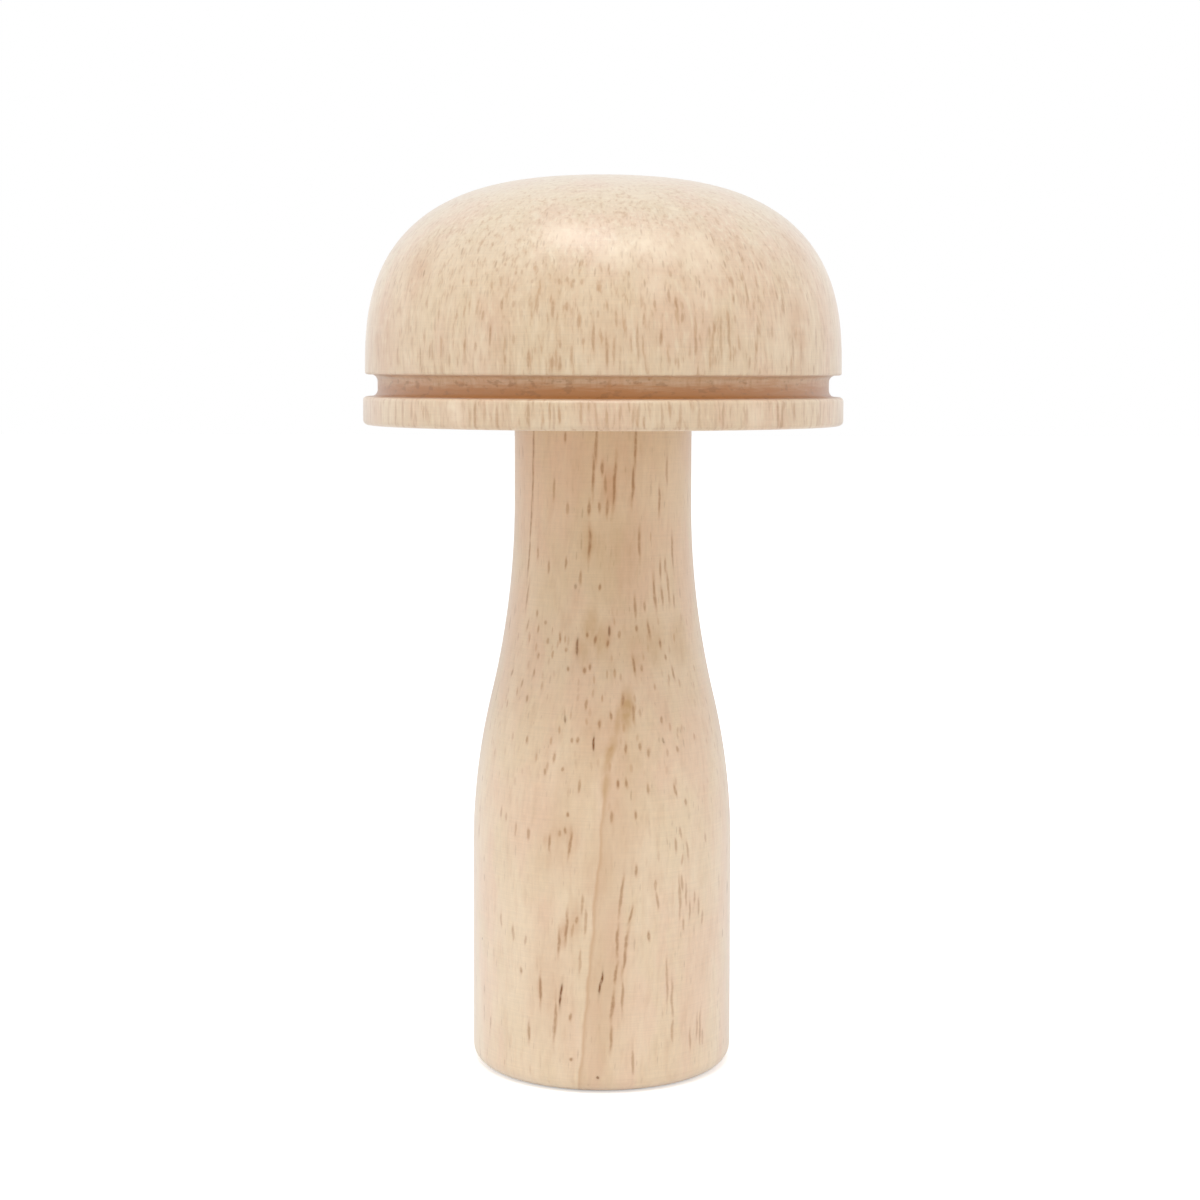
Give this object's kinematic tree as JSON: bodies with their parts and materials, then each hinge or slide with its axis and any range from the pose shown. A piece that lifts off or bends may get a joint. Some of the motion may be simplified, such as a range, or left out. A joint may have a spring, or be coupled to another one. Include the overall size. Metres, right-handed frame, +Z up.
{
  "type": "darning mushroom",
  "caption": "Turned wooden darning mushroom: a squarish domed cap with a band groove above its rim, on a bottle-shaped handle with a flat foot, joined by a hidden dowel.",
  "frame": {"origin": "centre of the flat foot, on the turning axis", "axes": "+Z up the turning axis from the foot to the crown of the cap; X and Y are free, because every piece is turned about Z"},
  "size_m": [0.0578, 0.0578, 0.1074],
  "materials": {
    "cap_wood": "fine-sanded pale hardwood with a thin satin oil or wax finish",
    "handle_wood": "fine-sanded pale hardwood, nearly bare, faint turning lines",
    "dowel_wood": "raw beech, compressed straight flutes"
  },
  "bodies": {
    "root": {"cap": "cap_wood", "handle": "handle_wood", "joint_dowel": "dowel_wood"}
  },
  "joints": []
}
